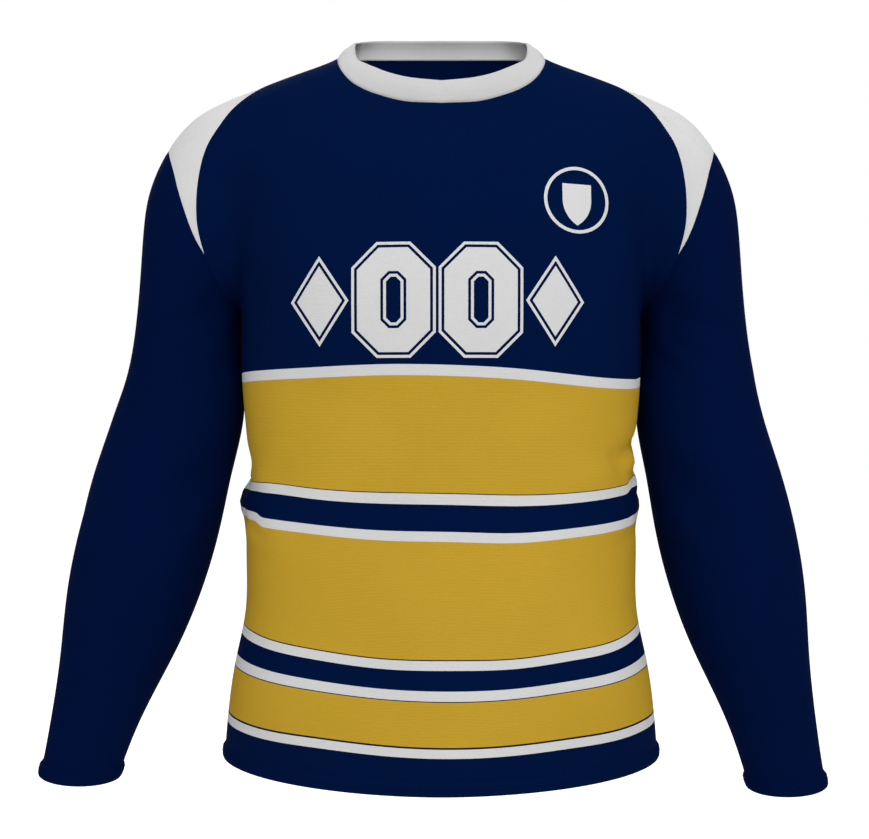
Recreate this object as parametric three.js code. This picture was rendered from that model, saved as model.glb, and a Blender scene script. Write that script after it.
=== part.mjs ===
// A long-sleeved sports jersey, filled out as if worn, with no wearer inside.
// Millimetres, +Z up, the front faces -Y, and the wearer's left is +X.
// The origin is midway between the two points where the shoulders meet the neck seam.
//
// The cloth follows one smooth form, a torso and two arms that run into each other at the
// shoulders. Seam lines drawn on that form cut it into the panels that a maker would sew:
// front, back, two shoulder inserts, two sleeves and a collar band. Each panel is a thin
// closed wall, and neighbours stand a seam's gap apart.

import * as THREE from 'three';

// Cloth
const WALL = 1.6; // body and sleeve cloth
const COLLAR_WALL = 2.4; // collar band, doubled cloth
const BAND_WALL = 3; // hem and cuffs, turned-up cloth
const SEAM_GAP = 0.3;
const LONGEST_MITRE = 1.5; // how far a pointed corner may draw back

// Body
const HEM_Z = - 669.5;
const SIDE_SEAM_Y = 4;
const UNDERARM = [ 191.6, 5, - 243 ];

// Sleeve ends, and how much closer in the wearer's left sleeve hangs below the elbow
const CUFF_Z = { left: - 689.5, right: - 680 };
const CUFF_TILT = 0.08;
const TUCK_TOP = - 300;
const TUCK_RATE = 0.045;

// Torso and arms run together with a wide blend at the shoulder, and almost none at the underarm
const BLEND_WIDE = 42;
const BLEND_NARROW = 8;
const BLEND_WIDE_Z = - 150;
const BLEND_NARROW_Z = - 246;

// Cells of the panels' grids
const ACROSS_HALF = 11; // front and back, centre line to side
const ARMHOLE_CELLS = 4; // underarm to the insert's tip
const LEG_CELLS = 5; // insert's tip up to where it turns to the neck
const LEG_ACROSS = 2; // across that stretch
const STRIP_CELLS = 5; // on from there to the collar
const STRIP_ACROSS = 5; // across that stretch, and along the collar
const SLEEVE_CELLS = 22; // cuff band to armhole
const COLLAR_CELLS = 3; // collar band, seam to top edge
const SIDE_CROWDING = 0.35; // how much closer the body's columns stand at its sides
const SMOOTHING_ROUNDS = 30;
const SECTION_STEPS = 60; // fine steps along half of a torso section

// Laying points on the form
const SLOPE_STEP = 0.5;
const LAYING_ROUNDS = 12;
const LONGEST_SHIFT = 12;
const CLOSE_ENOUGH = 1e-4;
const SAME_LEVEL = 0.02;

// Rows of the body between the hem band and the underarm, close together at the waist's folds
const BODY_STRETCHES = {
	columns: [ 'toZ', 'cells' ],
	rows: [
		[ - 600, 2 ],
		[ - 480, 5 ],
		[ - 370, 9 ],
		[ UNDERARM[ 2 ], 5 ]
	]
};

// Torso sections, level by level. The last column is how square the section is.
const TORSO = {
	columns: [ 'z', 'halfWidth', 'front', 'back', 'roundness' ],
	rows: [
		[ 90, 78, 52, 70, 2 ],
		[ 45, 87, 56, 73, 2 ],
		[ 20, 94, 58, 78, 2 ],
		[ 0, 98, 62, 84, 2 ],
		[ - 12, 114, 68, 90, 2 ],
		[ - 25, 149, 75, 96, 2 ],
		[ - 40, 187.5, 82, 101, 2.05 ],
		[ - 58, 216, 90, 106, 2.1 ],
		[ - 80, 226, 98, 110, 2.15 ],
		[ - 110, 222, 110, 113, 2.2 ],
		[ - 150, 204, 121, 116, 2.25 ],
		[ - 200, 196, 128, 116, 2.3 ],
		[ - 250, 190, 129, 113, 2.3 ],
		[ - 300, 190, 124, 109, 2.3 ],
		[ - 360, 186, 117, 104, 2.3 ],
		[ - 415, 184, 113, 101, 2.3 ],
		[ - 470, 186, 113, 101, 2.3 ],
		[ - 530, 187, 115, 104, 2.3 ],
		[ - 575, 196, 117, 109, 2.3 ],
		[ - 625, 204, 119, 113, 2.05 ],
		[ - 672, 208, 118, 115, 1.85 ],
		[ - 720, 208, 118, 115, 1.85 ]
	]
};

// Arm sections, level by level, for the side where x is positive
const ARM = {
	columns: [ 'z', 'centreX', 'centreY', 'halfWidth', 'halfDepth' ],
	rows: [
		[ - 45, 190, 4, 6, 8 ],
		[ - 58, 197, 4, 26, 30 ],
		[ - 77, 205, 4, 43, 46 ],
		[ - 100, 212, 4, 54, 56 ],
		[ - 130, 219, 4, 61, 61 ],
		[ - 165, 225, 4, 61, 63 ],
		[ - 205, 234, 5, 55, 62 ],
		[ - 250, 243, 6, 50, 60 ],
		[ - 300, 247, 7, 54, 59 ],
		[ - 345, 253, 7, 60, 59 ],
		[ - 400, 268, 4, 64, 59 ],
		[ - 450, 280, 0, 66, 59 ],
		[ - 510, 293, - 7, 63, 56 ],
		[ - 570, 307, - 15, 53, 49 ],
		[ - 630, 325, - 24, 41.5, 38 ],
		[ - 690, 340.5, - 33, 35.5, 30 ],
		[ - 730, 350, - 40, 34, 28 ]
	]
};

// Folds: soft ridges (height above 0) and troughs (below 0), each along a line in the body's
// cloth, the sleeves' cloth or both. The height is full at the line's first point and fades
// out towards its second.
const FOLDS = {
	columns: [ 'cloth', 'x1', 'y1', 'z1', 'x2', 'y2', 'z2', 'height', 'width' ],
	rows: [
		// waist, bunched ridges and the pinches above them, on the front and round the back
		[ 'body', - 186, 8, - 428, - 132, - 92, - 454, 6, 16 ],
		[ 'body', - 186, 8, - 386, - 128, - 92, - 392, - 4, 14 ],
		[ 'body', 186, 8, - 430, 122, - 96, - 452, 4, 16 ],
		[ 'body', 187, - 8, - 366, 150, - 76, - 382, - 2.5, 10 ],
		[ 'body', - 186, 20, - 428, - 96, 96, - 454, 5.5, 18 ],
		[ 'body', 186, 20, - 430, 96, 96, - 452, 3.5, 18 ],
		[ 'body', 0, 101, - 404, - 100, 94, - 392, - 5, 22 ],
		[ 'body', 0, 101, - 404, 100, 94, - 392, - 5, 22 ],
		// armpits, front and back
		[ 'both', - 200, - 70, - 196, - 168, - 98, - 270, - 4, 15 ],
		[ 'both', 200, - 70, - 196, 168, - 98, - 270, - 4, 15 ],
		[ 'both', - 200, 74, - 192, - 166, 94, - 270, - 4, 15 ],
		[ 'both', 200, 74, - 192, 166, 94, - 270, - 4, 15 ],
		// sleeves, below the armpits
		[ 'both', - 214, - 44, - 252, - 278, - 46, - 276, - 4, 16 ],
		[ 'both', 214, - 44, - 252, 278, - 46, - 276, - 4, 16 ],
		// crooks and backs of the elbows
		[ 'sleeve', - 210, - 38, - 404, - 276, - 60, - 432, - 5, 20 ],
		[ 'sleeve', 206, - 38, - 404, 270, - 60, - 432, - 5, 20 ],
		[ 'sleeve', - 292, 60, - 398, - 224, 44, - 410, - 4, 17 ],
		[ 'sleeve', 286, 60, - 398, 218, 44, - 410, - 4, 17 ],
		// outer face of the right sleeve above the elbow, which stands a little further out
		[ 'sleeve', - 306, 4, - 350, - 330, 4, - 440, 4, 36 ]
	]
};

// Neck: seam line and collar's top edge, from centre front round one side to centre back
const NECK = {
	columns: [ 'seamX', 'seamY', 'seamZ', 'topX', 'topY', 'topZ' ],
	rows: [
		[ 0, - 95, - 71, 0, - 87, - 49 ],
		[ 32, - 93.5, - 69, 29, - 85.5, - 45.6 ],
		[ 52, - 90, - 63.2, 47, - 81.5, - 40 ],
		[ 69, - 85, - 55.6, 60, - 75, - 33 ],
		[ 82, - 77.6, - 45.4, 69, - 65, - 26 ],
		[ 91, - 66, - 32, 77, - 47, - 16 ],
		[ 96.5, - 42, - 15, 82, - 23, 2 ],
		[ 98, 6, 3, 84.5, 10, 20 ],
		[ 90, 44, 13, 80.5, 36, 30 ],
		[ 70, 62, 20, 65, 56, 38 ],
		[ 37, 75, 25, 37, 69.5, 43 ],
		[ 0, 79, 26.5, 0, 74, 45 ]
	]
};
const NECK_INSERT_ROWS = [ 7, 8 ]; // the insert's two corners at the collar
const COLLAR_BULGE = 2.2;

// Seams of the wearer's left side, mirrored for the right
const FRONT_INSERT_SEAM = [ // insert's front tip up to the collar
	[ 216.5, - 55, - 197 ], [ 220.5, - 58, - 181 ], [ 222.5, - 59, - 169 ], [ 223, - 59, - 153 ],
	[ 222, - 59, - 135 ], [ 218, - 59, - 113 ], [ 212, - 58, - 95 ], [ 203, - 55, - 80 ],
	[ 192, - 51, - 64 ], [ 176, - 41, - 48 ], [ 153, - 22, - 30 ], [ 134, - 3, - 18 ],
	[ 118, 5, - 8 ], [ 98, 6, 3 ]
];
const BACK_INSERT_SEAM = [ // collar down to the insert's back tip
	[ 90, 44, 13 ], [ 122, 52, - 6 ], [ 152, 58, - 24 ], [ 178, 62, - 46 ], [ 196, 64, - 70 ],
	[ 209, 65, - 98 ], [ 218, 66, - 128 ], [ 221, 66, - 155 ], [ 220, 65, - 178 ], [ 214, 60, - 198 ]
];
const SLEEVE_HEAD_SEAM = [ // insert's front tip over the shoulder to its back tip
	[ 216.5, - 55, - 197 ], [ 222.8, - 58, - 186 ], [ 228.6, - 59, - 173 ], [ 234, - 58, - 158 ],
	[ 241, - 54.5, - 137.5 ], [ 247, - 48, - 118 ], [ 253.5, - 30, - 100 ], [ 259, 4, - 89 ],
	[ 253, 36, - 104 ], [ 243, 54, - 132 ], [ 233, 63, - 160 ], [ 224, 64, - 182 ], [ 214, 60, - 198 ]
];
const FRONT_ARMHOLE = [ UNDERARM, [ 200, - 29, - 234 ], [ 208, - 46, - 218 ], [ 216.5, - 55, - 197 ] ];
const BACK_ARMHOLE = [ [ 214, 60, - 198 ], [ 207, 50, - 218 ], [ 199, 33, - 234 ], UNDERARM ];

// Band at a turned-up edge: how far its face stands out at the hem and cuffs, and its wall
const BAND = {
	columns: [ 'fromEdge', 'hem', 'cuff', 'wall' ],
	rows: [
		[ 0, 0.9, 0.9, 2.2 ],
		[ 2.5, 2.6, 2.4, BAND_WALL ],
		[ 10, 2.6, 2.4, BAND_WALL ],
		[ 14, 0, 0, WALL ]
	]
};
const BAND_TOP = 14;

function bandRows( edge ) {

	const column = BAND.columns.indexOf( edge );
	return BAND.rows.map( ( row ) => ( { fromEdge: row[ 0 ], raise: row[ column ], wall: row[ 3 ] } ) );

}

// Natural cubic spline through a table's rows, by its first column
function splineOf( table ) {

	const sorted = [ ...table.rows ].sort( ( a, b ) => a[ 0 ] - b[ 0 ] );
	const x = sorted.map( ( row ) => row[ 0 ] );
	const columns = sorted[ 0 ].slice( 1 ).map( ( _, c ) => sorted.map( ( row ) => row[ c + 1 ] ) );
	const last = x.length - 1;
	const bends = columns.map( ( y ) => {

		const slope = ( i ) => ( y[ i + 1 ] - y[ i ] ) / ( x[ i + 1 ] - x[ i ] );
		const factor = new Array( last + 1 ).fill( 0 );
		const bend = new Array( last + 1 ).fill( 0 );
		for ( let i = 1; i < last; i ++ ) {

			const before = x[ i ] - x[ i - 1 ];
			const after = x[ i + 1 ] - x[ i ];
			const pivot = 2 * ( before + after ) - before * factor[ i - 1 ];
			factor[ i ] = after / pivot;
			bend[ i ] = ( 6 * ( slope( i ) - slope( i - 1 ) ) - before * bend[ i - 1 ] ) / pivot;

		}

		for ( let i = last - 1; i > 0; i -- ) bend[ i ] -= factor[ i ] * bend[ i + 1 ];
		return bend;

	} );

	return ( value ) => {

		const q = THREE.MathUtils.clamp( value, x[ 0 ], x[ last ] );
		let i = 0;
		while ( i < last - 1 && q > x[ i + 1 ] ) i ++;
		const step = x[ i + 1 ] - x[ i ];
		const a = ( x[ i + 1 ] - q ) / step;
		const b = ( q - x[ i ] ) / step;
		const cubicA = ( a ** 3 - a ) * step * step / 6;
		const cubicB = ( b ** 3 - b ) * step * step / 6;
		return columns.map( ( y, c ) => {

			const bend = bends[ c ];
			return a * y[ i ] + b * y[ i + 1 ] + cubicA * bend[ i ] + cubicB * bend[ i + 1 ];

		} );

	};

}

const torsoAt = splineOf( TORSO );
const armAt = splineOf( ARM );

// How far the wearer's left sleeve is drawn in at a level
const tuckAt = ( z ) => TUCK_RATE * Math.max( TUCK_TOP - z, 0 );

// A field is below zero inside its body, zero on its face and above zero outside
function torsoField( p ) {

	const [ halfWidth, front, back, roundness ] = torsoAt( p.z );
	const depth = p.y < 0 ? front : back;
	const across = Math.abs( p.x / halfWidth ) ** roundness;
	const along = Math.abs( p.y / depth ) ** roundness;
	return ( ( across + along ) ** ( 1 / roundness ) - 1 ) * Math.min( halfWidth, depth );

}

function armField( p ) {

	const [ centreX, centreY, halfWidth, halfDepth ] = armAt( p.z );
	const tuck = p.x > 0 ? tuckAt( p.z ) : 0;
	const across = ( Math.abs( p.x ) - centreX + tuck ) / halfWidth;
	const reach = Math.hypot( across, ( p.y - centreY ) / halfDepth );
	const aboveShoulder = Math.max( p.z - ARM.rows[ 0 ][ 0 ], 0 );
	return ( reach - 1 ) * Math.min( halfWidth, halfDepth ) + aboveShoulder;

}

const foldLines = FOLDS.rows.map( ( [ cloth, x1, y1, z1, x2, y2, z2, height, width ] ) => {

	const line = new THREE.Line3( new THREE.Vector3( x1, y1, z1 ), new THREE.Vector3( x2, y2, z2 ) );
	return { cloth, line, height, width };

} );
const nearest = new THREE.Vector3();

// Height at a point of the folds that both cloths share and of those that one has for itself
function foldHeight( p, own = 'both' ) {

	let sum = 0;
	for ( const { cloth, line, height, width } of foldLines ) {

		if ( cloth !== 'both' && cloth !== own ) continue;
		const share = line.closestPointToPointParameter( p, true );
		const away = line.at( share, nearest ).distanceTo( p ) / width;
		if ( away < 3 ) sum += height * ( 1 - share * share ) * Math.exp( - away * away );

	}

	return sum;

}

function blended( p ) {

	const torso = torsoField( p );
	const arm = armField( p );
	const rise = ( p.z - BLEND_NARROW_Z ) / ( BLEND_WIDE_Z - BLEND_NARROW_Z );
	const blend = THREE.MathUtils.lerp( BLEND_NARROW, BLEND_WIDE, THREE.MathUtils.clamp( rise, 0, 1 ) );
	const overlap = Math.max( blend - Math.abs( torso - arm ), 0 ) / blend;
	return Math.min( torso, arm ) - overlap ** 3 * blend / 6;

}

// Below the underarm the body and the sleeves are apart, so each follows its own part alone
const belowUnderarm = ( p ) => p.z < UNDERARM[ 2 ] - 0.5;
const form = ( p ) => blended( p ) - foldHeight( p );
const bodyForm = ( p ) => {

	return ( belowUnderarm( p ) ? torsoField( p ) : blended( p ) ) - foldHeight( p, 'body' );

};

const sleeveForm = ( p ) => {

	return ( belowUnderarm( p ) ? armField( p ) : blended( p ) ) - foldHeight( p, 'sleeve' );

};

function slopeOf( field, p ) {

	const slope = new THREE.Vector3();
	for ( const axis of [ 'x', 'y', 'z' ] ) {

		const middle = p[ axis ];
		p[ axis ] = middle + SLOPE_STEP;
		const ahead = field( p );
		p[ axis ] = middle - SLOPE_STEP;
		slope[ axis ] = ( ahead - field( p ) ) / ( 2 * SLOPE_STEP );
		p[ axis ] = middle;

	}

	return slope;

}

// Moves a point onto the form, straight along the field's slope
function onto( field, point ) {

	const p = point.clone();
	for ( let i = 0; i < LAYING_ROUNDS; i ++ ) {

		const slope = slopeOf( field, p );
		const shift = THREE.MathUtils.clamp( field( p ) / slope.lengthSq(), - LONGEST_SHIFT, LONGEST_SHIFT );
		p.addScaledVector( slope, - shift );
		if ( Math.abs( shift ) < CLOSE_ENOUGH ) break;

	}

	return p;

}

const vector = ( [ x, y, z ] ) => new THREE.Vector3( x, y, z );
const flipped = ( points ) => points.map( ( p ) => new THREE.Vector3( - p.x, p.y, p.z ) );
const onSide = ( side, points ) => ( side === 'left' ? points : flipped( points ) );
const backwards = ( points ) => [ ...points ].reverse();
const smoothCurve = ( rows ) => new THREE.CatmullRomCurve3( rows.map( vector ), false, 'centripetal' );

// Evenly spaced points on the form between two of its points
function straightOn( field, from, to, cells ) {

	return Array.from( { length: cells + 1 }, ( _, k ) => {

		if ( k === 0 ) return from;
		return k === cells ? to : onto( field, from.clone().lerp( to, k / cells ) );

	} );

}

// Evenly spaced points along a seam, on the form
function seam( rows, cells ) {

	return smoothCurve( rows ).getSpacedPoints( cells ).map( ( p ) => onto( form, p ) );

}

// Points along a line of points, closer together towards both ends
function spread( points, cells ) {

	const length = [ 0 ];
	for ( let i = 1; i < points.length; i ++ ) {

		length.push( length[ i - 1 ] + points[ i ].distanceTo( points[ i - 1 ] ) );

	}

	return Array.from( { length: cells + 1 }, ( _, k ) => {

		const share = k / cells - SIDE_CROWDING * Math.sin( 2 * Math.PI * k / cells ) / ( 2 * Math.PI );
		const target = length[ length.length - 1 ] * share;
		let i = 0;
		while ( i < points.length - 2 && length[ i + 1 ] < target ) i ++;
		const step = length[ i + 1 ] - length[ i ];
		return points[ i ].clone().lerp( points[ i + 1 ], ( target - length[ i ] ) / step );

	} );

}

// Blends two opposite pairs of edges into a grid of points. Rows run from low to high.
function patch( low, high, first, last ) {

	const across = low.length - 1;
	const up = first.length - 1;
	return first.map( ( _, i ) => low.map( ( __, j ) => {

		const v = i / up;
		const u = j / across;
		const p = new THREE.Vector3();
		p.addScaledVector( low[ j ], 1 - v ).addScaledVector( high[ j ], v );
		p.addScaledVector( first[ i ], 1 - u ).addScaledVector( last[ i ], u );
		p.addScaledVector( low[ 0 ], - ( 1 - u ) * ( 1 - v ) );
		p.addScaledVector( low[ across ], - u * ( 1 - v ) );
		p.addScaledVector( high[ 0 ], - ( 1 - u ) * v );
		p.addScaledVector( high[ across ], - u * v );
		return p;

	} ) );

}

// Evens out a grid's inner points and lays them on the form. Its edges stay where they are.
function smoothed( grid, field, { around = false, rounds = SMOOTHING_ROUNDS } = {} ) {

	const columns = grid[ 0 ].length;
	const firstColumn = around ? 0 : 1;
	const lastColumn = around ? columns - 1 : columns - 2;
	for ( let round = 0; round < rounds; round ++ ) {

		for ( let i = 1; i < grid.length - 1; i ++ ) {

			for ( let j = firstColumn; j <= lastColumn; j ++ ) {

				const middle = new THREE.Vector3();
				middle.add( grid[ i ][ ( j + 1 ) % columns ] ).add( grid[ i ][ ( j + columns - 1 ) % columns ] );
				middle.add( grid[ i + 1 ][ j ] ).add( grid[ i - 1 ][ j ] );
				grid[ i ][ j ] = onto( field, middle.divideScalar( 4 ) );

			}

		}

	}

	return grid;

}

// A closed wall over one or more grids that join where they share points. Normals face out.
class Wall {

	constructor( field ) {

		this.field = field;
		this.corners = [];
		this.places = new Map();
		this.quads = [];

	}

	// A point's number. Points in the same place share one.
	corner( point, band = null ) {

		const key = point.toArray().map( ( value ) => value.toFixed( 2 ) ).join();
		if ( ! this.places.has( key ) ) {

			const normal = slopeOf( this.field, point ).normalize();
			this.places.set( key, this.corners.push( { point, normal, band } ) - 1 );

		}

		return this.places.get( key );

	}

	// Adds a grid. bands gives its lowest rows their place in a turned-up edge.
	add( grid, { around = false, bands = [] } = {} ) {

		const numbers = grid.map( ( row, i ) => row.map( ( p ) => this.corner( p, bands[ i ] ) ) );
		const quads = [];
		const columns = grid[ 0 ].length;
		for ( let i = 0; i < grid.length - 1; i ++ ) {

			for ( let j = 0; j < ( around ? columns : columns - 1 ); j ++ ) {

				const k = ( j + 1 ) % columns;
				const [ low, high ] = [ numbers[ i ], numbers[ i + 1 ] ];
				quads.push( [ low[ j ], low[ k ], high[ k ], high[ j ] ] );

			}

		}

		const facingOut = quads.reduce( ( sum, quad ) => sum + this.turnOf( quad ), 0 ) > 0;
		this.quads.push( ...( facingOut ? quads : quads.map( backwards ) ) );
		return this;

	}

	// Above zero where a quad's corners run round to the left as seen from outside
	turnOf( quad ) {

		const [ a, b, c, d ] = quad.map( ( k ) => this.corners[ k ] );
		const across = c.point.clone().sub( a.point );
		return across.cross( d.point.clone().sub( b.point ) ).dot( a.normal );

	}

	// Edges that only one quad has, each as its two corners in order
	rimEdges() {

		const edges = new Map();
		for ( const quad of this.quads ) {

			quad.forEach( ( a, k ) => {

				const b = quad[ ( k + 1 ) % quad.length ];
				if ( a !== b && ! edges.delete( `${ b } ${ a }` ) ) edges.set( `${ a } ${ b }`, [ a, b ] );

			} );

		}

		return [ ...edges.values() ];

	}

	// Direction in which a seam's edge steps back, along the cloth. A hem's edge has none.
	stepOf( [ a, b ] ) {

		const [ from, to ] = [ this.corners[ a ], this.corners[ b ] ];
		if ( from.band?.fromEdge === 0 && to.band?.fromEdge === 0 ) return null;
		const along = to.point.clone().sub( from.point );
		return from.normal.clone().add( to.normal ).cross( along ).normalize();

	}

	// A face along the rim, from outer points a and b to inner points c and d. Its diagonal
	// starts at the higher outer point, so that the faces on both sides of a seam match.
	static rimFace( outer, a, b, c, d ) {

		const rise = outer[ a ].z - outer[ b ].z;
		const level = Math.abs( rise ) < SAME_LEVEL;
		const startsAtFirst = level ? Math.abs( outer[ a ].x ) > Math.abs( outer[ b ].x ) : rise > 0;
		return startsAtFirst ? [ a, b, c, d ] : [ b, c, d, a ];

	}

	geometry( thickness ) {

		const rim = this.rimEdges();
		const shifts = this.corners.map( () => [] );
		for ( const edge of rim ) {

			const step = this.stepOf( edge );
			edge.forEach( ( k ) => shifts[ k ].push( step ) );

		}

		const placed = this.corners.map( ( { point }, k ) => {

			return shifts[ k ].length ? point.clone().add( mitre( ...shifts[ k ] ) ) : point;

		} );
		const moved = ( amount ) => placed.map( ( p, k ) => {

			const { normal, band } = this.corners[ k ];
			return p.clone().addScaledVector( normal, amount( band ) );

		} );
		const outer = moved( ( band ) => band?.raise ?? 0 );
		const inner = moved( ( band ) => ( band ? band.raise - band.wall : - thickness ) );
		const count = outer.length;
		const insideOf = ( [ a, b, c, d ] ) => [ a, d, c, b ].map( ( k ) => k + count );
		const faces = [ ...this.quads, ...this.quads.map( insideOf ) ];
		for ( const [ a, b ] of rim ) faces.push( Wall.rimFace( outer, b, a, a + count, b + count ) );
		return meshGeometry( [ ...outer, ...inner ], faces );

	}

}

// Triangles of the faces, leaving out those that are squeezed to a line
function meshGeometry( points, faces ) {

	const index = [];
	for ( const [ a, b, c, d ] of faces ) {

		for ( const [ u, v, w ] of [ [ a, b, c ], [ a, c, d ] ] ) {

			if ( u !== v && v !== w && w !== u ) index.push( u, v, w );

		}

	}

	const geometry = new THREE.BufferGeometry();
	const numbers = points.flatMap( ( p ) => p.toArray() );
	geometry.setAttribute( 'position', new THREE.Float32BufferAttribute( numbers, 3 ) );
	geometry.setIndex( index );
	geometry.computeVertexNormals();
	return geometry;

}

// Shift of a rim's corner that steps both of its edges back by half the seam's gap
function mitre( one, other ) {

	const single = one ?? other ?? new THREE.Vector3();
	if ( ! one || ! other ) return single.clone().multiplyScalar( SEAM_GAP / 2 );
	const shift = one.clone().add( other );
	shift.multiplyScalar( SEAM_GAP / 2 / Math.max( 1 + one.dot( other ), 1e-3 ) );
	return shift.clampLength( 0, LONGEST_MITRE );

}

const leftSeams = {
	frontInsert: seam( FRONT_INSERT_SEAM, LEG_CELLS + STRIP_CELLS ),
	backInsert: seam( BACK_INSERT_SEAM, LEG_CELLS + STRIP_CELLS ),
	head: seam( SLEEVE_HEAD_SEAM, 2 * LEG_CELLS + STRIP_ACROSS ),
	frontArmhole: seam( FRONT_ARMHOLE, ARMHOLE_CELLS ),
	backArmhole: seam( BACK_ARMHOLE, ARMHOLE_CELLS )
};
const [ insertFront, insertBack ] = NECK_INSERT_ROWS;
const neckStretches = [
	{ from: 0, to: insertFront, cells: ACROSS_HALF },
	{ from: insertFront, to: insertBack, cells: STRIP_ACROSS },
	{ from: insertBack, to: NECK.rows.length - 1, cells: ACROSS_HALF }
];
const neckRows = ( { from, to } ) => NECK.rows.slice( from, to + 1 );
const [ frontNeck, insertNeck, backNeck ] = neckStretches.map( ( stretch ) => {

	return seam( neckRows( stretch ).map( ( row ) => row.slice( 0, 3 ) ), stretch.cells );

} );

// One level of the front (facing -1) or back (facing 1), from side seam to side seam
function bodyLevel( z, facing ) {

	const [ halfWidth, front, back, roundness ] = torsoAt( z );
	const depth = facing < 0 ? front : back;
	const points = Array.from( { length: SECTION_STEPS + 1 }, ( _, k ) => {

		const angle = Math.PI * k / SECTION_STEPS;
		const x = - Math.sign( Math.cos( angle ) ) * Math.abs( Math.cos( angle ) ) ** ( 2 / roundness );
		const y = Math.abs( Math.sin( angle ) ) ** ( 2 / roundness );
		return new THREE.Vector3( x * halfWidth, facing * y * depth, z );

	} );
	points[ 0 ].y = SIDE_SEAM_Y;
	points[ SECTION_STEPS ].y = SIDE_SEAM_Y;
	return spread( points, 2 * ACROSS_HALF ).map( ( p ) => onto( bodyForm, p ) );

}

function bodyLevels() {

	const levels = BAND.rows.map( ( [ fromEdge ] ) => HEM_Z + fromEdge );
	let z = HEM_Z + BAND_TOP;
	for ( const [ toZ, cells ] of BODY_STRETCHES.rows ) {

		for ( let k = 1; k <= cells; k ++ ) levels.push( z + ( toZ - z ) * k / cells );
		z = toZ;

	}

	return levels;

}

// Front or back: level rows from the hem to the underarm, then a patch up to the neck
function bodyPanel( facing ) {

	const armhole = facing < 0 ? leftSeams.frontArmhole : backwards( leftSeams.backArmhole );
	const insert = facing < 0 ? leftSeams.frontInsert : backwards( leftSeams.backInsert );
	const leftEdge = [ ...armhole, ...insert.slice( 1 ) ];
	const rows = bodyLevels().map( ( z ) => bodyLevel( z, facing ) );
	const top = rows.pop();
	top[ 0 ] = flipped( leftEdge )[ 0 ];
	top[ top.length - 1 ] = leftEdge[ 0 ];
	const halfNeck = facing < 0 ? frontNeck : backwards( backNeck );
	const neckline = [ ...backwards( flipped( halfNeck ) ), ...halfNeck.slice( 1 ) ];
	const upper = smoothed( patch( top, neckline, flipped( leftEdge ), leftEdge ), bodyForm );
	return new Wall( bodyForm ).add( [ ...rows, ...upper ], { bands: bandRows( 'hem' ) } ).geometry( WALL );

}

// Shoulder insert: a strip from the collar out over the shoulder, where it splits into two
// legs that run down in front of the sleeve's head and behind it, each to a point
function insertPanel( side ) {

	const head = onSide( side, leftSeams.head );
	const frontEdge = onSide( side, leftSeams.frontInsert );
	const backEdge = backwards( onSide( side, leftSeams.backInsert ) );
	const collarEdge = onSide( side, insertNeck );
	const wall = new Wall( form );
	const legs = [ [ head, frontEdge ], [ backwards( head ), backEdge ] ];
	const sides = legs.map( ( [ outer, inner ] ) => {

		const top = straightOn( form, outer[ LEG_CELLS ], inner[ LEG_CELLS ], LEG_ACROSS );
		const tip = new Array( LEG_ACROSS + 1 ).fill( outer[ 0 ] );
		const [ long, short ] = [ outer, inner ].map( ( edge ) => edge.slice( 0, LEG_CELLS + 1 ) );
		wall.add( smoothed( patch( long, short, tip, top ), form, { rounds: 1 } ) );
		return [ ...top, ...inner.slice( LEG_CELLS + 1 ) ];

	} );
	const capOfHead = head.slice( LEG_CELLS, LEG_CELLS + STRIP_ACROSS + 1 );
	wall.add( smoothed( patch( capOfHead, collarEdge, sides[ 0 ], sides[ 1 ] ), form ) );
	return wall.geometry( WALL );

}

// Point of a sleeve's section at a level, at a turn about the arm that starts at its outer face
function sleevePoint( side, z, turn ) {

	const [ centreX, centreY, halfWidth, halfDepth ] = armAt( z );
	const tuck = side === 'left' ? tuckAt( z ) : 0;
	const x = centreX - tuck + halfWidth * Math.cos( turn );
	return new THREE.Vector3( side === 'left' ? x : - x, centreY + halfDepth * Math.sin( turn ), z );

}

// Sleeve: rings from the cuff up to the armhole, which is the head seam and the underarm
function sleevePanel( side ) {

	const { head, frontArmhole, backArmhole } = leftSeams;
	const lines = [ frontArmhole, head, backArmhole ];
	const rim = onSide( side, lines.flatMap( ( line ) => line.slice( 0, - 1 ) ) );
	const cuffZ = CUFF_Z[ side ];
	const middleX = Math.abs( sleevePoint( side, cuffZ, Math.PI / 2 ).x );
	const ring = ( fromEdge, share ) => rim.map( ( top, j ) => {

		const turn = - Math.PI + 2 * Math.PI * j / rim.length;
		const outward = Math.abs( sleevePoint( side, cuffZ, turn ).x ) - middleX;
		const low = cuffZ + CUFF_TILT * outward + fromEdge;
		return onto( sleeveForm, sleevePoint( side, THREE.MathUtils.lerp( low, top.z, share ), turn ) );

	} );
	const band = BAND.rows.slice( 0, - 1 ).map( ( [ fromEdge ] ) => ring( fromEdge, 0 ) );
	const rings = [];
	for ( let k = 0; k < SLEEVE_CELLS; k ++ ) rings.push( ring( BAND_TOP, k / SLEEVE_CELLS ) );
	const grid = [ ...band, ...smoothed( [ ...rings, rim ], sleeveForm, { around: true } ) ];
	return new Wall( sleeveForm ).add( grid, { around: true, bands: bandRows( 'cuff' ) } ).geometry( WALL );

}

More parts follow.
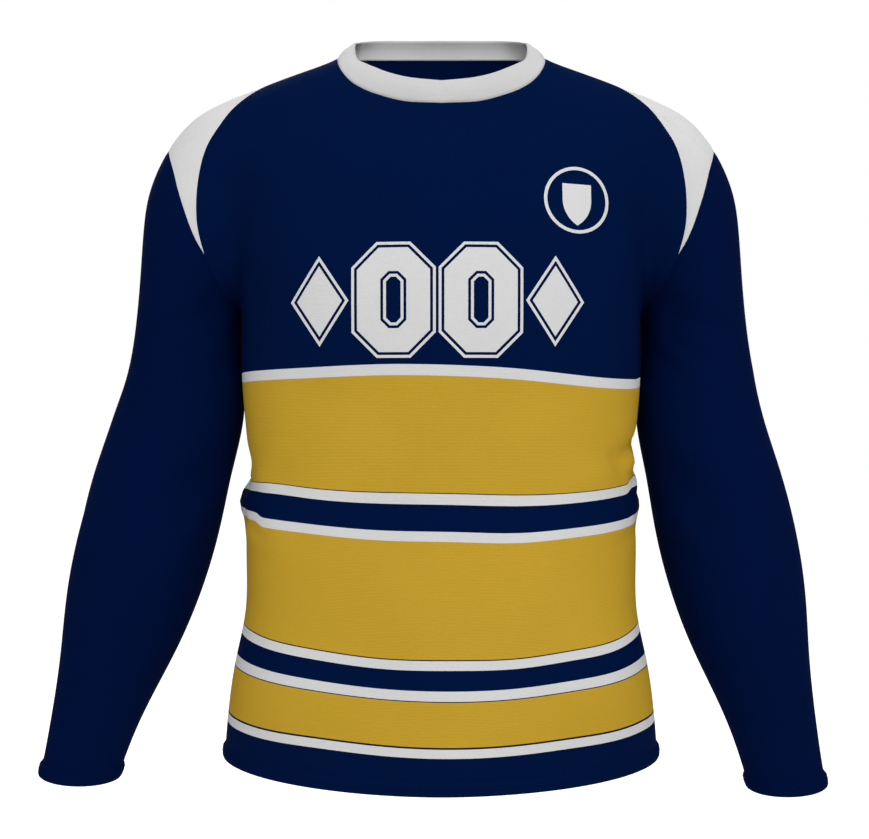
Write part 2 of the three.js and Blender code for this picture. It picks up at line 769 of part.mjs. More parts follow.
// Collar band: stands on the whole neck seam and leans in to its top edge
function collarBand() {

	const seamLine = [ ...frontNeck, ...insertNeck.slice( 1 ), ...backNeck.slice( 1 ) ];
	const topLine = neckStretches.flatMap( ( stretch, k ) => {

		const curve = smoothCurve( neckRows( stretch ).map( ( row ) => row.slice( 3 ) ) );
		const points = curve.getSpacedPoints( stretch.cells );
		return k === 0 ? points : points.slice( 1 );

	} );
	const loop = ( points ) => [ ...points, ...backwards( flipped( points ) ).slice( 1, - 1 ) ];
	const low = loop( seamLine );
	const high = loop( topLine );
	const count = low.length;
	const normals = low.map( ( p ) => slopeOf( form, p ).normalize() );
	const next = ( j ) => ( j + 1 ) % count;
	const steps = low.map( ( p, j ) => {

		const along = low[ next( j ) ].clone().sub( p );
		return along.cross( normals[ j ].clone().add( normals[ next( j ) ] ) ).negate().normalize();

	} );
	const start = low.map( ( p, j ) => {

		return p.clone().add( mitre( steps[ ( j + count - 1 ) % count ], steps[ j ] ) );

	} );
	const facing = low.map( ( p, j ) => {

		const along = high[ next( j ) ].clone().sub( high[ ( j + count - 1 ) % count ] );
		return along.cross( high[ j ].clone().sub( p ) ).normalize();

	} );
	const shares = Array.from( { length: COLLAR_CELLS + 1 }, ( _, i ) => i / COLLAR_CELLS );
	const outer = shares.map( ( v ) => start.map( ( p, j ) => {

		const bulge = COLLAR_BULGE * Math.sin( Math.PI * v );
		return p.clone().lerp( high[ j ], v ).addScaledVector( facing[ j ], bulge );

	} ) );
	const inner = shares.map( ( v, i ) => outer[ i ].map( ( p, j ) => {

		const through = normals[ j ].clone().lerp( facing[ j ], v ).normalize();
		return p.clone().addScaledVector( through, - COLLAR_WALL );

	} ) );
	const rows = [ ...outer, ...backwards( inner ) ];
	const points = rows.flat();
	const faces = [];
	for ( let i = 0; i < rows.length; i ++ ) {

		for ( let j = 0; j < count; j ++ ) {

			const [ here, there ] = [ i * count, ( ( i + 1 ) % rows.length ) * count ];
			const face = [ here + j, here + next( j ), there + next( j ), there + j ];
			const isRim = i === rows.length - 1;
			faces.push( isRim ? Wall.rimFace( points, face[ 3 ], face[ 0 ], face[ 1 ], face[ 2 ] ) : face );

		}

	}

	return meshGeometry( points, faces );

}

function piece( name, geometry, color ) {

	const material = new THREE.MeshStandardMaterial( { color, roughness: 0.75, metalness: 0 } );
	const mesh = new THREE.Mesh( geometry, material );
	mesh.name = name;
	return mesh;

}

const NAVY = 0x04143a;
const GOLD = 0xb8922a;
const WHITE = 0xd4d4d4;

const jersey = new THREE.Group();
jersey.add( piece( 'front', bodyPanel( - 1 ), GOLD ) );
jersey.add( piece( 'back', bodyPanel( 1 ), GOLD ) );
jersey.add( piece( 'collar', collarBand(), WHITE ) );
for ( const side of [ 'left', 'right' ] ) {

	jersey.add( piece( `sleeve_${ side }`, sleevePanel( side ), NAVY ) );
	jersey.add( piece( `shoulder_insert_${ side }`, insertPanel( side ), WHITE ) );

}

export default jersey;
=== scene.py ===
# Looks of a long-sleeved sports jersey, filled out as if worn, with no wearer inside.
# Each cut piece of the frame gets a fine cloth shell that follows the same form.
# The form and its seams are worked out in millimetres. Blender's objects are in metres.

import math

import bpy
import numpy as np
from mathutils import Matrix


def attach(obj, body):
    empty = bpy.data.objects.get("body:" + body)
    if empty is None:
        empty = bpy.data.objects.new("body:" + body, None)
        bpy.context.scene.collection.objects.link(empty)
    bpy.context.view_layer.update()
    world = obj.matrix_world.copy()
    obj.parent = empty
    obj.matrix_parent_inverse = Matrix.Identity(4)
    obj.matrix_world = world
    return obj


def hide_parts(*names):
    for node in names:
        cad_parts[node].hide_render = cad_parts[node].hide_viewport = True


MM = 0.001

# Cloth
CLOTH = 1.0
COLLAR_CLOTH = 2.0
SEAM_DIP = 0.45  # how far the cloth is drawn in along its seams
DIP_WIDTH = 4.0

# Body and sleeve ends
HEM_Z = -669.5
SIDE_SEAM_Y = 4
UNDERARM = (191.6, 5, -243)
CUFF_Z = {"left": -689.5, "right": -680}
CUFF_TILT = 0.08
TUCK_TOP = -300  # below it the wearer's left sleeve hangs a little closer in
TUCK_RATE = 0.045

# Torso and arms run together with a wide blend at the shoulder, and almost none at the underarm
BLEND_WIDE = 42
BLEND_NARROW = 8
BLEND_WIDE_Z = -150
BLEND_NARROW_Z = -246
ALONE_Z = -243.5  # below it the body and each sleeve follow their own part alone

# Cells of the panels' grids, and how many times finer the cloth is
ACROSS_HALF = 11
ARMHOLE_CELLS = 4
LEG_CELLS = 5
LEG_ACROSS = 2
STRIP_CELLS = 5
STRIP_ACROSS = 5
SLEEVE_CELLS = 22
FINER = 6
BODY_ROW = 4.0  # height of a row of the body below the underarm
SIDE_CROWDING = 0.35
COLLAR_ROWS = 10
COLLAR_BULGE = 2.2
COLLAR_LOBES = [(-24, 10, 0.8), (22, 10, 0.9), (0, 4, -0.8)]  # front lumps: x, width, height
ROLL_SHARE = 0.35  # how far the collar's top edge is rounded up, as a share of a row
COLLAR_CELL = (2.6, 2.0)  # size of a cell of the collar as the knit sees it, round and up
HEM_CELLS = 200  # cells of a line of stitches along half the hem
CURVE_STEPS = 40  # fine points between two rows of a seam's table
LEVEL_POINTS = 241  # fine points of a level row, before they are spaced out
LONGEST_SHIFT = 12.0  # the furthest that one round moves a point onto the form
SMOOTHING_ROUNDS = 50
POINTS_AT_A_TIME = 2000  # for the distances to a seam

# Torso sections: z, half width, front, back, roundness
TORSO = [
    (90, 78, 52, 70, 2),
    (45, 87, 56, 73, 2),
    (20, 94, 58, 78, 2),
    (0, 98, 62, 84, 2),
    (-12, 114, 68, 90, 2),
    (-25, 149, 75, 96, 2),
    (-40, 187.5, 82, 101, 2.05),
    (-58, 216, 90, 106, 2.1),
    (-80, 226, 98, 110, 2.15),
    (-110, 222, 110, 113, 2.2),
    (-150, 204, 121, 116, 2.25),
    (-200, 196, 128, 116, 2.3),
    (-250, 190, 129, 113, 2.3),
    (-300, 190, 124, 109, 2.3),
    (-360, 186, 117, 104, 2.3),
    (-415, 184, 113, 101, 2.3),
    (-470, 186, 113, 101, 2.3),
    (-530, 187, 115, 104, 2.3),
    (-575, 196, 117, 109, 2.3),
    (-625, 204, 119, 113, 2.05),
    (-672, 208, 118, 115, 1.85),
    (-720, 208, 118, 115, 1.85),
]

# Arm sections where x is positive: z, centre x, centre y, half width, half depth
ARM = [
    (-45, 190, 4, 6, 8),
    (-58, 197, 4, 26, 30),
    (-77, 205, 4, 43, 46),
    (-100, 212, 4, 54, 56),
    (-130, 219, 4, 61, 61),
    (-165, 225, 4, 61, 63),
    (-205, 234, 5, 55, 62),
    (-250, 243, 6, 50, 60),
    (-300, 247, 7, 54, 59),
    (-345, 253, 7, 60, 59),
    (-400, 268, 4, 64, 59),
    (-450, 280, 0, 66, 59),
    (-510, 293, -7, 63, 56),
    (-570, 307, -15, 53, 49),
    (-630, 325, -24, 41.5, 38),
    (-690, 340.5, -33, 35.5, 30),
    (-730, 350, -40, 34, 28),
]
ARM_TOP = -45

REACH = 3.0  # a fold is felt up to this many widths away

# Folds that the solids have: in the body's cloth, the sleeves' cloth or both, then first point,
# second point, height, width. The height is full at the first point and fades out to the second.
LARGE_FOLDS = [
    ("body", -186, 8, -428, -132, -92, -454, 6, 16),
    ("body", -186, 8, -386, -128, -92, -392, -4, 14),
    ("body", 186, 8, -430, 122, -96, -452, 4, 16),
    ("body", 187, -8, -366, 150, -76, -382, -2.5, 10),
    ("body", -186, 20, -428, -96, 96, -454, 5.5, 18),
    ("body", 186, 20, -430, 96, 96, -452, 3.5, 18),
    ("body", 0, 101, -404, -100, 94, -392, -5, 22),
    ("body", 0, 101, -404, 100, 94, -392, -5, 22),
    ("both", -200, -70, -196, -168, -98, -270, -4, 15),
    ("both", 200, -70, -196, 168, -98, -270, -4, 15),
    ("both", -200, 74, -192, -166, 94, -270, -4, 15),
    ("both", 200, 74, -192, 166, 94, -270, -4, 15),
    ("both", -214, -44, -252, -278, -46, -276, -4, 16),
    ("both", 214, -44, -252, 278, -46, -276, -4, 16),
    ("sleeve", -210, -38, -404, -276, -60, -432, -5, 20),
    ("sleeve", 206, -38, -404, 270, -60, -432, -5, 20),
    ("sleeve", -292, 60, -398, -224, 44, -410, -4, 17),
    ("sleeve", 286, 60, -398, 218, 44, -410, -4, 17),
    ("sleeve", -306, 4, -350, -330, 4, -440, 4, 36),
]

# Finer creases, as in LARGE_FOLDS
FINE_CREASES = [
    # waist, wearer's right, front
    ("body", -186, -20, -437, -154, -80, -460, -2.2, 6),
    ("body", -187, -8, -409, -160, -72, -414, -2.0, 7),
    ("body", -180, -40, -450, -120, -100, -476, 1.4, 10),
    ("body", -170, -62, -398, -128, -96, -372, 1.0, 12),
    # waist, wearer's left, front
    ("body", 186, -16, -366, 156, -72, -382, -1.5, 4.5),
    ("body", 180, -44, -386, 164, -62, -396, 2.2, 8),
    ("body", 153, -74, -382, 172, -54, -406, -2.0, 6),
    ("body", 188, -10, -391, 178, -44, -410, -2.2, 4.5),
    ("body", 188, -4, -405, 178, -44, -422, 2.4, 7),
    ("body", 150, -80, -398, 110, -102, -402, 1.2, 12),
    ("body", 186, -20, -446, 150, -84, -466, -1.4, 8),
    # front armpits
    ("both", -196, -58, -222, -178, -84, -262, -1.8, 6),
    ("both", -190, -66, -236, -160, -100, -300, -1.2, 8),
    ("both", 196, -58, -222, 176, -86, -268, -1.8, 6),
    ("both", 190, -66, -236, 158, -100, -296, -1.2, 8),
    # sleeves below the armpits
    ("sleeve", -206, -40, -270, -250, -56, -296, -1.6, 7),
    ("sleeve", 206, -40, -270, 252, -56, -300, -1.8, 7),
    ("sleeve", 204, -30, -290, 236, -52, -322, -1.2, 8),
    # crooks of the elbows
    ("sleeve", -222, -44, -420, -270, -62, -470, -1.6, 9),
    ("sleeve", -226, -40, -448, -262, -60, -500, 1.2, 10),
    ("sleeve", 218, -44, -416, 264, -62, -462, -1.6, 9),
    ("sleeve", 222, -40, -446, 258, -60, -492, 1.2, 10),
    # soft hollow under the chest
    ("body", -60, -120, -330, -150, -98, -318, -1.6, 22),
    ("body", 60, -120, -330, 150, -98, -318, -1.4, 22),
    # back of the shoulders, waist and arms
    ("body", -150, 104, -120, -60, 112, -190, -1.6, 16),
    ("body", 150, 104, -120, 60, 112, -190, -1.6, 16),
    ("body", -176, 52, -430, -110, 92, -470, -2.0, 8),
    ("body", 176, 52, -430, 110, 92, -470, -2.0, 8),
    ("body", -60, 100, -436, 70, 100, -444, 1.6, 12),
    ("body", -40, 100, -380, 90, 98, -372, 1.2, 12),
    ("both", -196, 62, -226, -170, 88, -280, -1.8, 7),
    ("both", 196, 62, -226, 170, 88, -284, -1.8, 7),
    ("sleeve", -262, 62, -380, -232, 50, -400, -1.4, 8),
    ("sleeve", 258, 62, -380, 226, 50, -400, -1.4, 8),
]

# Neck from centre front round one side to centre back: seam x, y, z, then the collar's top x, y, z
NECK = [
    (0, -95, -71, 0, -87, -49),
    (32, -93.5, -69, 29, -85.5, -45.6),
    (52, -90, -63.2, 47, -81.5, -40),
    (69, -85, -55.6, 60, -75, -33),
    (82, -77.6, -45.4, 69, -65, -26),
    (91, -66, -32, 77, -47, -16),
    (96.5, -42, -15, 82, -23, 2),
    (98, 6, 3, 84.5, 10, 20),
    (90, 44, 13, 80.5, 36, 30),
    (70, 62, 20, 65, 56, 38),
    (37, 75, 25, 37, 69.5, 43),
    (0, 79, 26.5, 0, 74, 45),
]
NECK_STRETCHES = [(0, 7, ACROSS_HALF), (7, 8, STRIP_ACROSS), (8, 11, ACROSS_HALF)]

# Seams of the wearer's left side, mirrored for the right
FRONT_INSERT_SEAM = [
    (216.5, -55, -197), (220.5, -58, -181), (222.5, -59, -169), (223, -59, -153),
    (222, -59, -135), (218, -59, -113), (212, -58, -95), (203, -55, -80),
    (192, -51, -64), (176, -41, -48), (153, -22, -30), (134, -3, -18),
    (118, 5, -8), (98, 6, 3),
]
BACK_INSERT_SEAM = [
    (90, 44, 13), (122, 52, -6), (152, 58, -24), (178, 62, -46), (196, 64, -70),
    (209, 65, -98), (218, 66, -128), (221, 66, -155), (220, 65, -178), (214, 60, -198),
]
SLEEVE_HEAD_SEAM = [
    (216.5, -55, -197), (222.8, -58, -186), (228.6, -59, -173), (234, -58, -158),
    (241, -54.5, -137.5), (247, -48, -118), (253.5, -30, -100), (259, 4, -89),
    (253, 36, -104), (243, 54, -132), (233, 63, -160), (224, 64, -182), (214, 60, -198),
]
FRONT_ARMHOLE = [UNDERARM, (200, -29, -234), (208, -46, -218), (216.5, -55, -197)]
BACK_ARMHOLE = [(214, 60, -198), (207, 50, -218), (199, 33, -234), UNDERARM]

# Turned-up edge: distance from the edge, how far the face stands out, thickness
TURNED_EDGE = [
    (0, 0.9, 1.3),
    (0.7, 1.9, 2.2),
    (2.2, 2.5, 2.6),
    (4.5, 2.65, 2.6),
    (7.0, 2.55, 2.6),
    (9.2, 2.3, 2.4),
    (10.8, 1.5, 1.9),
    (11.8, 0.4, 1.2),
    (12.8, -0.15, 1.0),
    (14.2, 0.1, 1.0),
    (16.5, 0, 1.0),
]
NEEDLE_ROWS = (6.2, 9.0)  # the two rows of stitches, from the edge
STITCH_PITCH = 3.1
STITCH_LENGTH = 2.3
STITCH_WIDTH = 0.55
STITCH_LIFT = 0.2  # how far its middle stands off the cloth, as a share of its width
STITCH_RINGS = [(0, 0.25), (0.25, 1), (0.75, 1), (1, 0.25)]  # place along the stitch, size

# White stripes: height of each one's middle at places across the body, from the top one down
STRIPE_LINES = [
    (-185, -309, -411, -439.5, -544, -573.5, -628.5),
    (-155, -308.5, -409.5, -441, -548.5, -576, -628.5),
    (-115, -307.5, -412.5, -443.5, -552, -578.5, -628),
    (-50, -305.5, -415.5, -447.5, -557.5, -583, -630.5),
    (15, -306.5, -416.5, -448.7, -558.5, -584.8, -632),
    (67, -309.3, -417.8, -450, -557.7, -583, -630.8),
    (115, -313.8, -416.7, -447, -553.5, -579.5, -629),
    (160, -316.3, -413, -443.2, -549, -576.5, -629),
    (185, -315.5, -410, -440, -542, -573, -628),
]

# Where a fold at the waist takes up cloth, a stripe steps up: stripe, x, width, rise.
# Behind the side seams it comes down again over BACK_EASE times the width.
FOLD_STEPS = [
    (0, 182.0, 3.0, 2.5),
    (1, 173.0, 2.5, 5.0),
    (2, -166.0, 3.0, 4.5),
]
BACK_EASE = 5.0

# Bands of colour down the body, by where each one starts at the centre
STRIPES = [
    (0, "navy"), (-301.6, "white"), (-310.9, "gold"), (-410.9, "navy"), (-411.7, "white"),
    (-421.0, "navy"), (-444.2, "white"), (-452.8, "gold"), (-553.2, "navy"), (-554.2, "white"),
    (-562.4, "navy"), (-579.8, "white"), (-588.4, "navy"), (-589.2, "gold"), (-627.2, "navy"),
    (-628.8, "white"), (-636.6, "navy"),
]
PATTERN_LOW = -700.0

# Colours, linear
COLOURS = {
    "navy": (0.0003, 0.0066, 0.043),
    # sleeve: the body's navy made darker, painted shade for the sleeves
    "sleeve": (0.0003, 0.0052, 0.038),
    "gold": (0.505, 0.312, 0.0265),
    "white": (0.63, 0.63, 0.63),
    # collar: the white made darker, painted shade for the collar band
    "collar": (0.54, 0.54, 0.54),
}

# Knit: width and height of a stitch in millimetres, and the depth of its relief in metres
WALE = 1.5
COURSE = 1.25
KNIT_DEPTH = 0.00012
KNIT_STRENGTH = 0.55  # share of the relief that shows
CLOTH_SPECULAR = 0.01  # shine of every cloth

# Unevenness of the cloth: scale and detail of the noise, spread, lowest value
PATCHES = (9.0, 3.0, 0.16, 0.92)
SPECKLES = (900.0, 1.0, 0.10, 0.95)
LUMPS = (26.0, 2.0, 9.0, 0.0)
ROUGHNESS = (60.0, 3.0, 0.12, 0.79)

# Chest print: two block zeros between two lozenges, and a plain shield in a ring
PRINT_X = -4.0
PRINT_Z = -247.0
DIGIT_OFFSET = 37.0
DIGIT_HALF_WIDTH = 21.0
DIGIT_HALF_HEIGHT = 34.0
DIGIT_STROKE = 20.0
DIGIT_CORNER = 9.0
LOZENGE_OFFSET = 101.0
LOZENGE_HALF_WIDTH = 20.0
LOZENGE_HALF_HEIGHT = 30.0
OUTLINE_GAP = 2.4
OUTLINE = 2.4
BADGE_X = 116.8
BADGE_Z = -158.4
BADGE_RADIUS = 28.0
BADGE_LINE = 2.9
SHIELD_HALF_WIDTH = 13.0
SHIELD_TOP = 14.0
SHIELD_ARC = 26.0  # radius of the two arcs that meet in its point

# Camera, from the photograph's field of view and the garment's real width
PHOTO_WIDTH = 869
FOCAL_PIXELS = 1013
SENSOR = 36.0
CAMERA_AT = (-0.0063, -0.980, -0.348)

# Studio floor and light
FLOOR_SIZE = 40
FLOOR_Z = -1.45
FLOOR_COLOUR = (0.92, 0.92, 0.92, 1)
FLOOR_ROUGHNESS = 0.9
ROOM_LIGHT = 0.52
FLOOR_GLOW = 0.6
LIGHTS = [  # name, place, target, size, power
    ("key", (0.7, -2.4, 2.0), (0, 0, -0.3), 1.8, 60),
    ("fill", (-1.4, -2.4, 0.2), (0, 0, -0.35), 1.8, 6),
    ("top", (0, 0.2, 2.6), (0, 0, 0), 3.0, 15),
    ("back", (-1.0, 2.4, 1.4), (0, 0, -0.3), 1.8, 28),
]


class Spline:
    """Natural cubic splines through rows of values."""

    def __init__(self, x, y):
        order = np.argsort(x)
        self.x = np.asarray(x, float)[order]
        self.y = np.asarray(y, float)[order]
        count = len(self.x)
        step = np.diff(self.x)
        slope = np.diff(self.y, axis=0) / step[:, None]
        matrix = np.eye(count)
        right = np.zeros_like(self.y)
        for i in range(1, count - 1):
            matrix[i, i - 1 : i + 2] = step[i - 1], 2 * (step[i - 1] + step[i]), step[i]
            right[i] = 6 * (slope[i] - slope[i - 1])
        self.bend = np.linalg.solve(matrix, right)

    def __call__(self, value):
        q = np.clip(value, self.x[0], self.x[-1])
        i = np.clip(np.searchsorted(self.x, q) - 1, 0, len(self.x) - 2)
        step = self.x[i + 1] - self.x[i]
        a = ((self.x[i + 1] - q) / step)[:, None]
        b = 1 - a
        square = (step * step / 6)[:, None]
        bent = (a**3 - a) * self.bend[i] + (b**3 - b) * self.bend[i + 1]
        return a * self.y[i] + b * self.y[i + 1] + bent * square


def table_spline(rows):
    rows = np.array(rows, float)
    return Spline(rows[:, 0], rows[:, 1:])


torso_at = table_spline(TORSO)
arm_at = table_spline(ARM)
stripe_lines_at = table_spline(STRIPE_LINES)


def folds_in(*cloths):
    return np.array([row[1:] for row in LARGE_FOLDS + FINE_CREASES if row[0] in cloths], float)


def torso_field(p):
    half_width, front, back, roundness = torso_at(p[:, 2]).T
    depth = np.where(p[:, 1] < 0, front, back)
    reach = np.abs(p[:, 0] / half_width) ** roundness + np.abs(p[:, 1] / depth) ** roundness
    return (reach ** (1 / roundness) - 1) * np.minimum(half_width, depth)


def arm_field(p):
    centre_x, centre_y, half_width, half_depth = arm_at(p[:, 2]).T
    tuck = np.where(p[:, 0] > 0, TUCK_RATE * np.maximum(TUCK_TOP - p[:, 2], 0), 0)
    across = (np.abs(p[:, 0]) - centre_x + tuck) / half_width
    along = (p[:, 1] - centre_y) / half_depth
    above_shoulder = np.maximum(p[:, 2] - ARM_TOP, 0)
    return (np.hypot(across, along) - 1) * np.minimum(half_width, half_depth) + above_shoulder


def fold_height(p, folds):
    total = np.zeros(len(p))
    for row in folds:
        start, end = row[:3], row[3:6]
        height, width = row[6:]
        reach = REACH * width
        low, high = np.minimum(start, end) - reach, np.maximum(start, end) + reach
        close = np.flatnonzero(((p > low) & (p < high)).all(axis=1))
        if not len(close):
            continue
        line = end - start
        near = p[close] - start
        share = np.clip(near @ line / (line @ line), 0, 1)
        away = np.linalg.norm(near - share[:, None] * line, axis=1) / width
        total[close] += height * (1 - share**2) * np.exp(-(away**2))
    return total


def blended(p):
    torso = torso_field(p)
    arm = arm_field(p)
    rise = np.clip((p[:, 2] - BLEND_NARROW_Z) / (BLEND_WIDE_Z - BLEND_NARROW_Z), 0, 1)
    blend = BLEND_NARROW + (BLEND_WIDE - BLEND_NARROW) * rise
    overlap = np.maximum(blend - np.abs(torso - arm), 0) / blend
    return np.minimum(torso, arm) - overlap**3 * blend / 6


def field_of(alone, folds):
    """Form of the body or the sleeves, with its folds."""

    def field(p):
        below = p[:, 2] < ALONE_Z
        return np.where(below, alone(p), blended(p)) - fold_height(p, folds)

    return field


body_form = field_of(torso_field, folds_in("both", "body"))
sleeve_form = field_of(arm_field, folds_in("both", "sleeve"))
form = field_of(blended, folds_in("both"))


def slope_of(field, points):
    """How much the field changes over a millimetre along each axis."""
    slope = np.empty_like(points)
    for axis, shift in enumerate(np.eye(3) * 0.5):
        slope[:, axis] = field(points + shift) - field(points - shift)
    return slope


def unit(vectors):
    return vectors / np.maximum(np.linalg.norm(vectors, axis=-1, keepdims=True), 1e-9)


def onto(field, points, rounds=6):
    """Moves points onto the form, straight along its slope."""
    p = np.array(points, float).reshape(-1, 3)
    for _ in range(rounds):
        slope = slope_of(field, p)
        shift = field(p) / (slope**2).sum(axis=1)
        p -= slope * np.clip(shift, -LONGEST_SHIFT, LONGEST_SHIFT)[:, None]
    return p.reshape(np.shape(points))


def flipped(points):
    return np.asarray(points) * (-1, 1, 1)


def on_side(side, points):
    return np.asarray(points) if side == "left" else flipped(points)


def curve_through(rows):
    """Fine points on a centripetal Catmull-Rom curve through the rows."""
    p = np.array(rows, float)
    p = np.vstack([2 * p[0] - p[1], p, 2 * p[-1] - p[-2]])
    s = np.linspace(0, 1, CURVE_STEPS, endpoint=False)[:, None]
    stretches = []
    for a, b, c, d in zip(p, p[1:], p[2:], p[3:]):
        t0, t1, t2 = (np.linalg.norm(v) ** 0.5 for v in (b - a, c - b, d - c))
        out = ((b - a) / t0 - (c - a) / (t0 + t1) + (c - b) / t1) * t1
        into = ((c - b) / t1 - (d - b) / (t1 + t2) + (d - c) / t2) * t1
        stretches.append(
            (2 * s**3 - 3 * s**2 + 1) * b
            + (s**3 - 2 * s**2 + s) * out
            + (3 * s**2 - 2 * s**3) * c
            + (s**3 - s**2) * into
        )
    return np.vstack([*stretches, p[-2:-1]])


def spaced(points, shares):
    """Points at shares of the length of a line of points."""
    length = np.concatenate([[0], np.cumsum(np.linalg.norm(np.diff(points, axis=0), axis=1))])
    return np.array([np.interp(shares * length[-1], length, points[:, k]) for k in range(3)]).T


def seam(rows, cells):
    return onto(form, spaced(curve_through(rows), np.linspace(0, 1, cells * FINER + 1)))


def patch(low, high, first, last):
    """Blends two opposite pairs of edges into a grid. Rows run from low to high."""
    v = np.linspace(0, 1, len(first))[:, None, None]
    u = np.linspace(0, 1, len(low))[None, :, None]
    ruled = (1 - v) * low[None] + v * high[None] + (1 - u) * first[:, None] + u * last[:, None]
    corners = (1 - v) * ((1 - u) * low[0] + u * low[-1]) + v * ((1 - u) * high[0] + u * high[-1])
    return ruled - corners


def smoothed(grid, field, around=False):
    """Evens out a grid's inner points on the form. Its edges stay where they are."""
    grid = grid.copy()
    for _ in range(SMOOTHING_ROUNDS):
        wide = np.concatenate([grid[:, -1:], grid, grid[:, :1]], axis=1)
        middle = (wide[1:-1, 2:] + wide[1:-1, :-2] + grid[2:] + grid[:-2]) / 4
        if around:
            grid[1:-1] = onto(field, middle, 2)
        else:
            grid[1:-1, 1:-1] = onto(field, middle[:, 1:-1], 2)
    return grid


def finer(grid, around=False):
    """The same grid with FINER times as many cells, on smooth curves through its points."""
    rows, columns = grid.shape[:2]
    margin = 4 if around else 0
    if around:
        grid = np.concatenate([grid[:, -margin:], grid, grid[:, : margin + 1]], axis=1)
    down = Spline(np.arange(rows), grid.reshape(rows, -1))
    tall = down(np.linspace(0, rows - 1, (rows - 1) * FINER + 1))
    tall = tall.reshape(-1, grid.shape[1], 3).transpose(1, 0, 2)
    across = Spline(np.arange(-margin, grid.shape[1] - margin), tall.reshape(grid.shape[1], -1))
    cells = columns if around else columns - 1
    wide = across(np.linspace(0, cells, cells * FINER + 1))
    wide = wide.reshape(-1, tall.shape[1], 3).transpose(1, 0, 2)
    return wide[:, :-1] if around else wide


def lengths_along(grid, axis):
    """How far each point of a grid lies along its row or column."""
    steps = np.linalg.norm(np.diff(grid, axis=axis), axis=2)
    pad = [(1, 0), (0, 0)] if axis == 0 else [(0, 0), (1, 0)]
    return np.cumsum(np.pad(steps, pad), axis=axis)


left_seams = {
    "front_insert": seam(FRONT_INSERT_SEAM, LEG_CELLS + STRIP_CELLS),
    "back_insert": seam(BACK_INSERT_SEAM, LEG_CELLS + STRIP_CELLS),
    "head": seam(SLEEVE_HEAD_SEAM, 2 * LEG_CELLS + STRIP_ACROSS),
    "front_armhole": seam(FRONT_ARMHOLE, ARMHOLE_CELLS),
    "back_armhole": seam(BACK_ARMHOLE, ARMHOLE_CELLS),
}
front_neck, insert_neck, back_neck = (
    seam([row[:3] for row in NECK[a : b + 1]], cells) for a, b, cells in NECK_STRETCHES
)


class Cloth:
    """A closed thin shell over one or more grids that join where they share points."""

    def __init__(self, field, thickness):
        self.field = field
        self.thickness = thickness
        self.grids = []

    def add(self, grid, around=False, turned_edge=False):
        raised = np.zeros(grid.shape[:2])
        thickness = np.full(grid.shape[:2], self.thickness)
        if turned_edge:
            _, lifts, walls = np.array(TURNED_EDGE).T
            raised[: len(lifts)] = lifts[:, None]
            thickness[: len(walls)] = walls[:, None]
        self.grids.append((grid, around, raised, thickness))
        return self

    def build(self, name):
        points, quads, raised, thickness, places = [], [], [], [], []
        start = 0
        for grid, around, lift, wall in self.grids:
            rows, columns = grid.shape[:2]
            number = start + np.arange(rows * columns).reshape(rows, columns)
            right = np.roll(number, -1, axis=1)
            cells = np.stack([number[:-1], right[:-1], right[1:], number[1:]], axis=-1)
            quads.append((cells if around else cells[:, :-1]).reshape(-1, 4))
            points.append(grid.reshape(-1, 3))
            raised.append(lift.ravel())
            thickness.append(wall.ravel())
            across = lengths_along(grid, 1)
            across -= across[:, columns // 2][:, None]
            up = lengths_along(grid, 0)
            places.append(np.stack([across, up, np.zeros_like(up)], axis=-1).reshape(-1, 3))
            start += rows * columns
        points = np.vstack(points)
        keys = np.round(points, 2)
        _, first, merged = np.unique(keys, axis=0, return_index=True, return_inverse=True)
        merged = merged.ravel()
        points = points[first]
        raised = np.concatenate(raised)[first]
        thickness = np.concatenate(thickness)[first]
        places = np.vstack(places)[first]
        normals = unit(slope_of(self.field, points))
        quads = [self.facing_out(merged[q], points, normals) for q in quads]
        faces = [tuple(dict.fromkeys(q)) for q in np.vstack(quads).tolist()]
        rim = self.rim_edges(faces)
        near_seam = self.dip_near_rim(points, rim, raised)
        outer = points + normals * (raised - near_seam)[:, None]
        inner = points + normals * (raised - thickness)[:, None]
        count = len(points)
        every = [f for f in faces if len(f) > 2]
        every += [tuple(k + count for k in reversed(f)) for f in faces if len(f) > 2]
        every += [(b, a, a + count, b + count) for a, b in rim]
        sharp = {frozenset(e) for e in rim} | {frozenset(k + count for k in e) for e in rim}
        mesh = mesh_from(name, np.vstack([outer, inner]), every, sharp)
        set_vectors(mesh, "cloth", np.vstack([places, places]))
        set_floats(mesh, "pattern", np.tile(pattern_height(points), 2))
        return mesh

    @staticmethod
    def facing_out(quads, points, normals):
        a, b, c, d = (points[quads[:, k]] for k in range(4))
        turn = (np.cross(c - a, d - b) * normals[quads[:, 0]]).sum()
        return quads if turn > 0 else quads[:, ::-1]

    @staticmethod
    def rim_edges(faces):
        edges = {}
        for face in faces:
            if len(face) < 3:
                continue
            for a, b in zip(face, face[1:] + face[:1]):
                if (b, a) in edges:
                    del edges[(b, a)]
                else:
                    edges[(a, b)] = True
        return list(edges)

    @staticmethod
    def dip_near_rim(points, rim, raised):
        """How far each point is drawn in because a seam is close. A turned edge isn't."""
        ends = sorted({k for edge in rim for k in edge if raised[k] == 0})
        dip = np.zeros(len(points))
        if not ends:
            return dip
        seam_points = points[ends]
        low, high = seam_points.min(axis=0) - DIP_WIDTH, seam_points.max(axis=0) + DIP_WIDTH
        close = np.flatnonzero(((points > low) & (points < high)).all(axis=1))
        for part in np.array_split(close, max(len(close) // POINTS_AT_A_TIME, 1)):
            away = np.linalg.norm(points[part][:, None] - seam_points[None], axis=2).min(axis=1)
            dip[part] = SEAM_DIP * np.clip(1 - away / DIP_WIDTH, 0, 1) ** 2
        return dip


